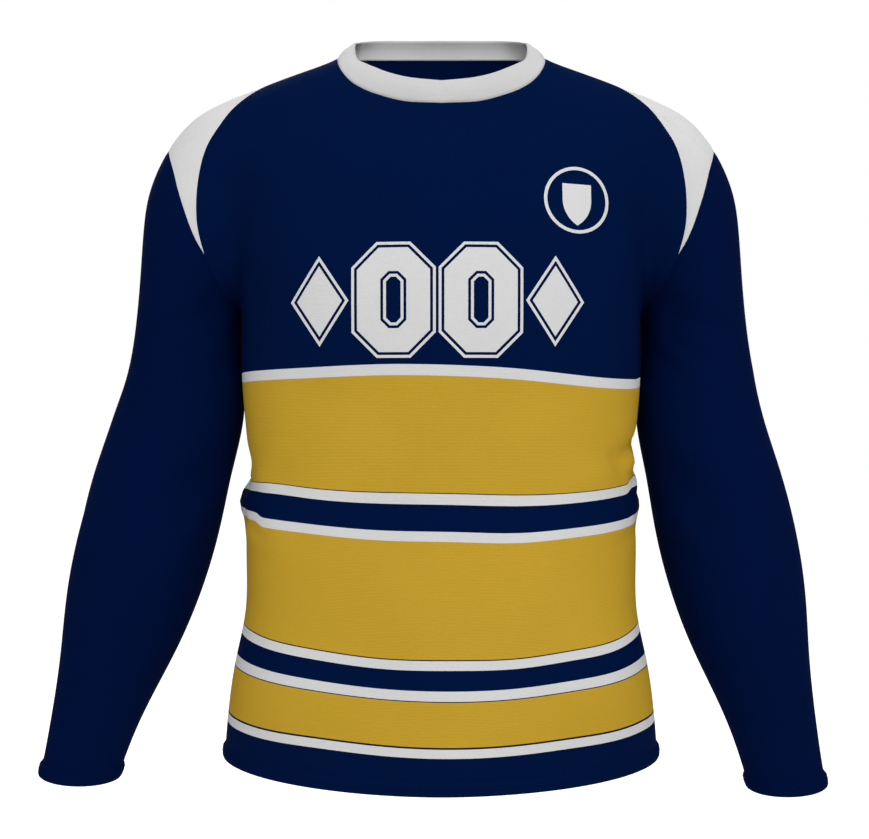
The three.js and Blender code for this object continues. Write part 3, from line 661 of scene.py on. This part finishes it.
def mesh_from(name, points_mm, faces, sharp=frozenset()):
    mesh = bpy.data.meshes.new(name)
    mesh.from_pydata((points_mm * MM).tolist(), [], faces)
    mesh.polygons.foreach_set("use_smooth", [True] * len(mesh.polygons))
    if sharp:
        marks = [frozenset(edge.vertices) in sharp for edge in mesh.edges]
        layer = mesh.attributes.new("sharp_edge", "BOOLEAN", "EDGE")
        layer.data.foreach_set("value", marks)
    mesh.update()
    return mesh


def set_vectors(mesh, name, values):
    layer = mesh.attributes.new(name, "FLOAT_VECTOR", "POINT")
    layer.data.foreach_set("vector", np.ascontiguousarray(values, np.float32).ravel())


def set_floats(mesh, name, values):
    layer = mesh.attributes.new(name, "FLOAT", "POINT")
    layer.data.foreach_set("value", np.ascontiguousarray(values, np.float32))


def pattern_height(p):
    """Height of each point in the stripes as they were cut, before the cloth hung."""
    x, z = p[:, 0], p[:, 2]
    lines = stripe_lines_at(np.clip(x, STRIPE_LINES[0][0], STRIPE_LINES[-1][0]))
    ease = np.where(p[:, 1] > 0, BACK_EASE, 1.0)
    for stripe, place, width, rise in FOLD_STEPS:
        beyond = (x - place) * np.sign(place) / (width * ease)
        lines[:, stripe] += rise * (1 + np.tanh(beyond)) / 2
    level = stripe_lines_at(np.zeros(1))[0]
    pattern = np.empty(len(p))
    low, low_real = PATTERN_LOW, np.full(len(p), PATTERN_LOW)
    for high, high_real in [*zip(level[::-1], lines.T[::-1]), (0.0, np.zeros(len(p)))]:
        share = (z - low_real) / (high_real - low_real)
        pattern = np.where(z >= low_real, low + (high - low) * share, pattern)
        low, low_real = high, high_real
    return np.clip(pattern, PATTERN_LOW, 0)


def body_levels(facing, levels, cells):
    """Level rows of the front (facing -1) or back (facing 1), from side seam to side seam."""
    fine = np.linspace(0, math.pi, LEVEL_POINTS)
    share = np.linspace(0, 1, cells + 1)
    crowded = share - SIDE_CROWDING * np.sin(2 * math.pi * share) / (2 * math.pi)
    rows = []
    for z, (half_width, front, back, roundness) in zip(levels, torso_at(np.array(levels, float))):
        cosine = np.cos(fine)
        x = -np.sign(cosine) * np.abs(cosine) ** (2 / roundness) * half_width
        y = facing * np.abs(np.sin(fine)) ** (2 / roundness) * (front if facing < 0 else back)
        y[0] = y[-1] = SIDE_SEAM_Y
        rows.append(spaced(np.stack([x, y, np.full_like(x, z)], axis=1), crowded))
    return np.array(rows)


def body_edge(facing):
    armhole = left_seams["front_armhole"] if facing < 0 else left_seams["back_armhole"][::-1]
    insert = left_seams["front_insert"] if facing < 0 else left_seams["back_insert"][::-1]
    return np.vstack([armhole, insert[1:]])


def body_grid(facing):
    left_edge = body_edge(facing)
    half_neck = front_neck if facing < 0 else back_neck[::-1]
    neckline = np.vstack([flipped(half_neck)[::-1], half_neck[1:]])
    cells = 2 * ACROSS_HALF * FINER
    below = [HEM_Z + row[0] for row in TURNED_EDGE]
    count = round((UNDERARM[2] - below[-1]) / BODY_ROW)
    levels = below + list(np.linspace(below[-1], UNDERARM[2], count + 1)[1:])
    lower = onto(body_form, body_levels(facing, levels, cells))
    top = lower[-1].copy()
    top[0] = flipped(left_edge[0])
    top[-1] = left_edge[0]
    edge = left_edge[::FINER]
    coarse = patch(top[::FINER], neckline[::FINER], flipped(edge), edge)
    upper = finer(smoothed(onto(body_form, coarse), body_form))
    upper[0] = top
    upper[:, 0] = flipped(left_edge)
    upper[:, -1] = left_edge
    upper[-1] = neckline
    upper[1:-1, 1:-1] = onto(body_form, upper[1:-1, 1:-1])
    return np.vstack([lower[:-1], upper])


def body_piece(name, facing):
    return Cloth(body_form, CLOTH).add(body_grid(facing), turned_edge=True).build(name)


def insert_piece(name, side):
    """A strip out over the shoulder that splits into two pointed legs round the sleeve's head."""
    head = on_side(side, left_seams["head"])
    front_edge = on_side(side, left_seams["front_insert"])
    back_edge = on_side(side, left_seams["back_insert"])[::-1]
    collar_edge = on_side(side, insert_neck)
    cloth = Cloth(form, CLOTH)
    turn = LEG_CELLS * FINER
    sides = []
    for outer, inner in ((head, front_edge), (head[::-1], back_edge)):
        share = np.linspace(0, 1, LEG_ACROSS * FINER + 1)[:, None]
        top = outer[turn] + (inner[turn] - outer[turn]) * share
        top[1:-1] = onto(form, top[1:-1])
        tip = np.repeat(outer[:1], len(top), axis=0)
        leg = patch(outer[: turn + 1], inner[: turn + 1], tip, top)
        leg[1:-1, 1:-1] = onto(form, leg[1:-1, 1:-1])
        cloth.add(leg)
        sides.append(np.vstack([top, inner[turn + 1 :]]))
    cap = head[turn : turn + STRIP_ACROSS * FINER + 1]
    strip = patch(cap, collar_edge, *sides)
    strip[1:-1, 1:-1] = onto(form, strip[1:-1, 1:-1])
    return cloth.add(strip).build(name)


def sleeve_points(side, z, turn):
    centre_x, centre_y, half_width, half_depth = arm_at(z).T
    tuck = TUCK_RATE * np.maximum(TUCK_TOP - z, 0) if side == "left" else 0
    x = centre_x - tuck + half_width * np.cos(turn)
    y = centre_y + half_depth * np.sin(turn)
    return on_side(side, np.stack([x, y, z], axis=1))


def sleeve_ring(side, rim, from_edge, share):
    turn = -math.pi + 2 * math.pi * np.arange(len(rim)) / len(rim)
    level = np.full(len(rim), float(CUFF_Z[side]))
    middle = np.abs(sleeve_points(side, level, np.full(len(rim), math.pi / 2))[:, 0])
    outward = np.abs(sleeve_points(side, level, turn)[:, 0]) - middle
    low = level + CUFF_TILT * outward + from_edge
    return sleeve_points(side, low + (rim[:, 2] - low) * share, turn)


def sleeve_rim(side):
    seams = [left_seams[name][:-1] for name in ("front_armhole", "head", "back_armhole")]
    return on_side(side, np.vstack(seams))


def sleeve_piece(name, side):
    rim = sleeve_rim(side)
    coarse_rim = rim[::FINER]
    start = TURNED_EDGE[-1][0]
    rings = [
        sleeve_ring(side, coarse_rim, start, k / SLEEVE_CELLS) for k in range(SLEEVE_CELLS)
    ]
    coarse = np.array([*rings, coarse_rim])
    coarse[:-1] = onto(sleeve_form, coarse[:-1])
    tube = finer(smoothed(coarse, sleeve_form, around=True), around=True)
    tube[-1] = rim
    band = np.array([sleeve_ring(side, rim, row[0], 0) for row in TURNED_EDGE[:-1]])
    grid = np.vstack([band, tube])
    grid[:-1] = onto(sleeve_form, grid[:-1])
    return Cloth(sleeve_form, CLOTH).add(grid, around=True, turned_edge=True).build(name)


def looped(points):
    """A half neckline carried round the other side."""
    return np.vstack([points, flipped(points)[::-1][1:-1]])


def collar_piece(name):
    """A band that stands on the neck seam and leans in to its top edge."""
    low = looped(np.vstack([front_neck, insert_neck[1:], back_neck[1:]]))
    tops = []
    for a, b, cells in NECK_STRETCHES:
        curve = curve_through([row[3:] for row in NECK[a : b + 1]])
        tops.append(spaced(curve, np.linspace(0, 1, cells * FINER + 1))[min(a, 1) :])
    high = looped(np.vstack(tops))
    normals = unit(slope_of(form, low))
    along = np.roll(high, -1, axis=0) - np.roll(high, 1, axis=0)
    facing = unit(np.cross(along, high - low))
    swell = np.full(len(low), COLLAR_BULGE)
    for x, width, height in COLLAR_LOBES:
        swell += np.where(low[:, 1] < 0, height * np.exp(-(((low[:, 0] - x) / width) ** 2)), 0)
    rows = []
    for k in range(COLLAR_ROWS + 1):
        share = k / COLLAR_ROWS
        bulge = swell[:, None] * math.sin(math.pi * share)
        rows.append(low + (high - low) * share + facing * bulge)
    inner = []
    for k, row in enumerate(rows):
        share = k / COLLAR_ROWS
        lean = unit(normals * (1 - share) + facing * share)
        inner.append(row - lean * COLLAR_CLOTH)
    rolled = (rows[-1] + inner[-1]) / 2 + (rows[-1] - rows[-2]) * ROLL_SHARE
    loops = [low - normals * SEAM_DIP, *rows[1:], rolled, *inner[::-1]]
    points = np.vstack(loops)
    count = len(low)
    faces = []
    for i in range(len(loops)):
        here, there = i * count, ((i + 1) % len(loops)) * count
        for j in range(count):
            k = (j + 1) % count
            faces.append((here + j, here + k, there + k, there + j))
    mesh = mesh_from(name, points, faces)
    around = np.tile(np.arange(count) * COLLAR_CELL[0], len(loops))
    up = np.repeat(np.arange(len(loops)) * COLLAR_CELL[1], count)
    set_vectors(mesh, "cloth", np.stack([around, up, np.zeros_like(up)], axis=1))
    return mesh


def stitches_along(line, normals):
    """Small raised threads along a closed line of points, narrow at both ends."""
    line = np.vstack([line, line[:1]])
    normals = np.vstack([normals, normals[:1]])
    length = np.linalg.norm(np.diff(line, axis=0), axis=1).sum()
    count = int(length / STITCH_PITCH)
    starts = np.arange(count) / count
    ends = starts + STITCH_LENGTH / length
    a, b = spaced(line, starts), spaced(line, ends)
    up = unit(spaced(normals, starts))
    side = unit(np.cross(b - a, up)) * STITCH_WIDTH / 2
    rise = up * STITCH_WIDTH / 2
    rings = []
    for share, size in STITCH_RINGS:
        middle = a + (b - a) * share + up * STITCH_WIDTH * STITCH_LIFT
        for corner in (side, rise, -side, -rise):
            rings.append(middle + corner * size)
    points = np.stack(rings, axis=1).reshape(-1, 3)
    faces = []
    for first in range(0, len(points), len(rings)):
        last = first + len(rings) - 4
        for low in range(first, last, 4):
            for j in range(4):
                n = (j + 1) % 4
                faces.append((low + j, low + n, low + 4 + n, low + 4 + j))
        faces.append((first + 3, first + 2, first + 1, first))
        faces.append((last, last + 1, last + 2, last + 3))
    return points, faces


def joined(parts):
    points, faces, start = [], [], 0
    for some_points, some_faces in parts:
        points.append(some_points)
        faces += [tuple(k + start for k in face) for face in some_faces]
        start += len(some_points)
    return np.vstack(points), faces


def edge_raise(from_edge):
    distances, lifts = zip(*[row[:2] for row in TURNED_EDGE])
    return float(np.interp(from_edge, distances, lifts))


def hem_stitches(name):
    parts = []
    for from_edge in NEEDLE_ROWS:
        level = [HEM_Z + from_edge]
        halves = [body_levels(facing, level, HEM_CELLS)[0] for facing in (-1, 1)]
        line = onto(body_form, np.vstack([halves[0], halves[1][::-1][1:-1]]))
        normals = unit(slope_of(body_form, line))
        parts.append(stitches_along(line + normals * edge_raise(from_edge), normals))
    return mesh_from(name, *joined(parts))


def cuff_stitches(name, side):
    parts = []
    rim = sleeve_rim(side)
    for from_edge in NEEDLE_ROWS:
        line = onto(sleeve_form, sleeve_ring(side, rim, from_edge, 0))
        normals = unit(slope_of(sleeve_form, line))
        parts.append(stitches_along(line + normals * edge_raise(from_edge), normals))
    return mesh_from(name, *joined(parts))


class Finish:
    """A cloth material made of nodes."""

    def __init__(self, name):
        self.material = bpy.data.materials.new(name)
        self.material.use_nodes = True
        self.tree = self.material.node_tree
        self.shader = self.tree.nodes["Principled BSDF"]
        self.shader.inputs["Specular IOR Level"].default_value = CLOTH_SPECULAR

    def node(self, kind, **settings):
        node = self.tree.nodes.new(kind)
        for key, value in settings.items():
            setattr(node, key, value)
        return node

    def feed(self, socket, value):
        if isinstance(value, bpy.types.NodeSocket):
            self.tree.links.new(value, socket)
        else:
            socket.default_value = value

    def math(self, operation, *values):
        node = self.node("ShaderNodeMath", operation=operation)
        for socket, value in zip(node.inputs, values):
            self.feed(socket, value)
        return node.outputs[0]

    def attribute(self, name, output):
        return self.node("ShaderNodeAttribute", attribute_name=name).outputs[output]

    def object_place(self):
        return self.node("ShaderNodeTexCoord").outputs["Object"]

    def varied(self, scale, detail, spread, lowest):
        """A number that noise carries up from the lowest value by as much as the spread."""
        node = self.node("ShaderNodeTexNoise")
        self.feed(node.inputs["Vector"], self.object_place())
        node.inputs["Scale"].default_value = scale
        node.inputs["Detail"].default_value = detail
        return self.math("MULTIPLY_ADD", node.outputs["Fac"], spread, lowest)

    def mix(self, share, a, b):
        node = self.node("ShaderNodeMix", data_type="RGBA")
        for socket, value in zip((node.inputs[0], node.inputs[6], node.inputs[7]), (share, a, b)):
            self.feed(socket, value)
        return node.outputs[2]

    def colour(self, value):
        """The cloth's colour, a little uneven from place to place."""
        strength = self.math("MULTIPLY", self.varied(*PATCHES), self.varied(*SPECKLES))
        node = self.node("ShaderNodeVectorMath", operation="SCALE")
        self.feed(node.inputs[0], value)
        self.feed(node.inputs["Scale"], strength)
        self.feed(self.shader.inputs["Base Color"], node.outputs[0])
        self.feed(self.shader.inputs["Roughness"], self.varied(*ROUGHNESS))
        return self

    def knit(self):
        """Rows of small stitches, and a faint unevenness of the cloth."""
        split = self.node("ShaderNodeSeparateXYZ")
        self.feed(split.inputs[0], self.attribute("cloth", "Vector"))
        across = self.math("SINE", self.math("MULTIPLY", split.outputs[0], math.pi / WALE))
        up = self.math("SINE", self.math("MULTIPLY", split.outputs[1], 2 * math.pi / COURSE))
        loops = self.math("MULTIPLY", self.math("ABSOLUTE", across), up)
        total = self.math("ADD", loops, self.varied(*LUMPS))
        bump = self.node("ShaderNodeBump")
        bump.inputs["Strength"].default_value = KNIT_STRENGTH
        bump.inputs["Distance"].default_value = KNIT_DEPTH
        self.feed(bump.inputs["Height"], total)
        self.feed(self.shader.inputs["Normal"], bump.outputs[0])
        return self


def rgba(name):
    return (*COLOURS[name], 1.0)


def striped_colour(finish):
    """Bands of colour by height in the pattern."""
    height = finish.attribute("pattern", "Fac")
    colour = rgba(STRIPES[0][1])
    for start, name in STRIPES[1:]:
        colour = finish.mix(finish.math("LESS_THAN", height, start), colour, rgba(name))
    return colour


def chest_print(finish, colour):
    """White block zeros, lozenges and a ringed shield, laid over a colour."""
    split = finish.node("ShaderNodeSeparateXYZ")
    finish.feed(split.inputs[0], finish.object_place())
    x = finish.math("MULTIPLY", split.outputs[0], 1 / MM)
    z = finish.math("MULTIPLY", split.outputs[2], 1 / MM)
    from_middle = finish.math("ABSOLUTE", finish.math("SUBTRACT", x, PRINT_X))
    up = finish.math("ABSOLUTE", finish.math("SUBTRACT", z, PRINT_Z))

    digit_x = finish.math("ABSOLUTE", finish.math("SUBTRACT", from_middle, DIGIT_OFFSET))
    corner = (DIGIT_HALF_WIDTH + DIGIT_HALF_HEIGHT) * math.sqrt(0.5) - DIGIT_CORNER
    slanted = finish.math("MULTIPLY", finish.math("ADD", digit_x, up), math.sqrt(0.5))
    beyond = finish.math(
        "MAXIMUM",
        finish.math("SUBTRACT", digit_x, DIGIT_HALF_WIDTH),
        finish.math("SUBTRACT", up, DIGIT_HALF_HEIGHT),
    )
    beyond = finish.math("MAXIMUM", beyond, finish.math("SUBTRACT", slanted, corner))
    digit = finish.math("SUBTRACT", finish.math("ABSOLUTE", beyond), DIGIT_STROKE / 2)

    lozenge_x = finish.math("ABSOLUTE", finish.math("SUBTRACT", from_middle, LOZENGE_OFFSET))
    reach = finish.math(
        "ADD",
        finish.math("DIVIDE", lozenge_x, LOZENGE_HALF_WIDTH),
        finish.math("DIVIDE", up, LOZENGE_HALF_HEIGHT),
    )
    size = LOZENGE_HALF_WIDTH * LOZENGE_HALF_HEIGHT
    size /= math.hypot(LOZENGE_HALF_WIDTH, LOZENGE_HALF_HEIGHT)
    lozenge = finish.math("MULTIPLY", finish.math("SUBTRACT", reach, 1.0), size)
    away = finish.math("MINIMUM", digit, lozenge)

    filled = finish.math("LESS_THAN", away, 0.0)
    ring = finish.math("COMPARE", away, OUTLINE_GAP + OUTLINE / 2, OUTLINE / 2)
    mask = finish.math("MAXIMUM", filled, ring)
    mask = finish.math("MAXIMUM", mask, badge_mask(finish, x, z))
    return finish.mix(mask, colour, rgba("white"))


def badge_mask(finish, x, z):
    """A ring round a plain shield, whose lower half lies within two arcs."""
    right = finish.math("ABSOLUTE", finish.math("SUBTRACT", x, BADGE_X))
    up = finish.math("SUBTRACT", z, BADGE_Z)
    ring = finish.math("COMPARE", length_of(finish, right, up), BADGE_RADIUS, BADGE_LINE / 2)
    from_arc = finish.math("ADD", right, SHIELD_ARC - SHIELD_HALF_WIDTH)
    below = finish.math("MINIMUM", up, 0.0)
    inside = finish.math("LESS_THAN", length_of(finish, from_arc, below), SHIELD_ARC)
    under_top = finish.math("LESS_THAN", up, SHIELD_TOP)
    return finish.math("MAXIMUM", ring, finish.math("MULTIPLY", inside, under_top))


def length_of(finish, a, b):
    squares = finish.math("ADD", finish.math("MULTIPLY", a, a), finish.math("MULTIPLY", b, b))
    return finish.math("SQRT", squares)


def striped_cloth(name, printed):
    finish = Finish(name)
    colour = striped_colour(finish)
    if printed:
        colour = chest_print(finish, colour)
    return finish.colour(colour).knit().material


def plain_cloth(name, colour):
    return Finish(name).colour(COLOURS[colour]).knit().material


def place_piece(mesh, material, nodes):
    piece = bpy.data.objects.new(mesh.name, mesh)
    bpy.context.scene.collection.objects.link(piece)
    mesh.materials.append(material)
    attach(piece, "root")
    if nodes:
        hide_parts(*nodes)
    return piece


def soft_light(name, place, target, size, power):
    light = bpy.data.lights.new(name, "AREA")
    light.shape = "DISK"
    light.size = size
    light.energy = power
    lamp = bpy.data.objects.new(name, light)
    bpy.context.scene.collection.objects.link(lamp)
    lamp.location = place
    direction = np.array(target) - np.array(place)
    flat = math.hypot(direction[0], direction[1])
    turn = math.atan2(direction[1], direction[0]) - math.pi / 2
    lamp.rotation_euler = (math.pi / 2 + math.atan2(direction[2], flat), 0, turn)


def build_stage():
    bpy.ops.mesh.primitive_plane_add(size=FLOOR_SIZE, location=(0, 0, FLOOR_Z))
    floor = bpy.context.object
    floor.name = "studio_floor"
    finish = bpy.data.materials.new("studio_floor")
    finish.use_nodes = True
    shader = finish.node_tree.nodes["Principled BSDF"]
    shader.inputs["Base Color"].default_value = FLOOR_COLOUR
    shader.inputs["Roughness"].default_value = FLOOR_ROUGHNESS
    shader.inputs["Emission Color"].default_value = (1, 1, 1, 1)
    seen = seen_by_camera(finish.node_tree, 0.0, FLOOR_GLOW)
    finish.node_tree.links.new(seen, shader.inputs["Emission Strength"])
    floor.data.materials.append(finish)

    world = bpy.data.worlds.new("studio")
    bpy.context.scene.world = world
    world.use_nodes = True
    background = world.node_tree.nodes["Background"]
    background.inputs["Color"].default_value = (1, 1, 1, 1)
    seen = seen_by_camera(world.node_tree, ROOM_LIGHT, 1.0)
    world.node_tree.links.new(seen, background.inputs["Strength"])

    for light in LIGHTS:
        soft_light(*light)
    bpy.context.scene.view_settings.view_transform = "Standard"


def seen_by_camera(tree, otherwise, seen):
    """One strength for the rays that the camera sees and another for the light that falls."""
    path = tree.nodes.new("ShaderNodeLightPath")
    strength = tree.nodes.new("ShaderNodeMapRange")
    strength.inputs["To Min"].default_value = otherwise
    strength.inputs["To Max"].default_value = seen
    tree.links.new(path.outputs["Is Camera Ray"], strength.inputs["Value"])
    return strength.outputs[0]


def build_camera():
    data = bpy.data.cameras.new("photo_view")
    data.sensor_width = SENSOR
    data.lens = SENSOR * FOCAL_PIXELS / PHOTO_WIDTH
    camera = bpy.data.objects.new("photo_view", data)
    bpy.context.scene.collection.objects.link(camera)
    camera.location = CAMERA_AT
    camera.rotation_euler = (math.pi / 2, 0, 0)
    bpy.context.scene.camera = camera


def build_jersey():
    printed = striped_cloth("striped_cloth_front", True)
    striped = striped_cloth("striped_cloth_back", False)
    # the sleeves' navy is darkened to paint in shade
    sleeve_shaded_navy = plain_cloth("navy_cloth", "sleeve")
    light = plain_cloth("white_cloth", "white")
    # the collar's white is darkened to paint in shade
    band = plain_cloth("collar_cloth_painted_shade", "collar")
    thread = plain_cloth("navy_thread", "navy")

    front = place_piece(body_piece("front_cloth", -1), printed, ["front"])
    back = place_piece(body_piece("back_cloth", 1), striped, ["back"])
    collar = place_piece(collar_piece("collar_band"), band, ["collar"])
    seams = place_piece(hem_stitches("hem_stitching"), thread, [])
    for side in ("left", "right"):
        mesh = insert_piece(f"shoulder_insert_cloth_{side}", side)
        insert = place_piece(mesh, light, [f"shoulder_insert_{side}"])
        mesh = sleeve_piece(f"sleeve_cloth_{side}", side)
        sleeve = place_piece(mesh, sleeve_shaded_navy, [f"sleeve_{side}"])
        mesh = cuff_stitches(f"cuff_stitching_{side}", side)
        cuff = place_piece(mesh, thread, [])


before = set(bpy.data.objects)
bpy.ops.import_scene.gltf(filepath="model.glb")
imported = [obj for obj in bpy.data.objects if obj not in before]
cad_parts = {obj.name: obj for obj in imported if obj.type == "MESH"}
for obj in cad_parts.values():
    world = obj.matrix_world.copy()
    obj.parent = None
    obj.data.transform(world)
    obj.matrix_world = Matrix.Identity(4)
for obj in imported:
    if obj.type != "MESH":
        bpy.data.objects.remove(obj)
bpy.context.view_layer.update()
build_camera()
build_jersey()
build_stage()
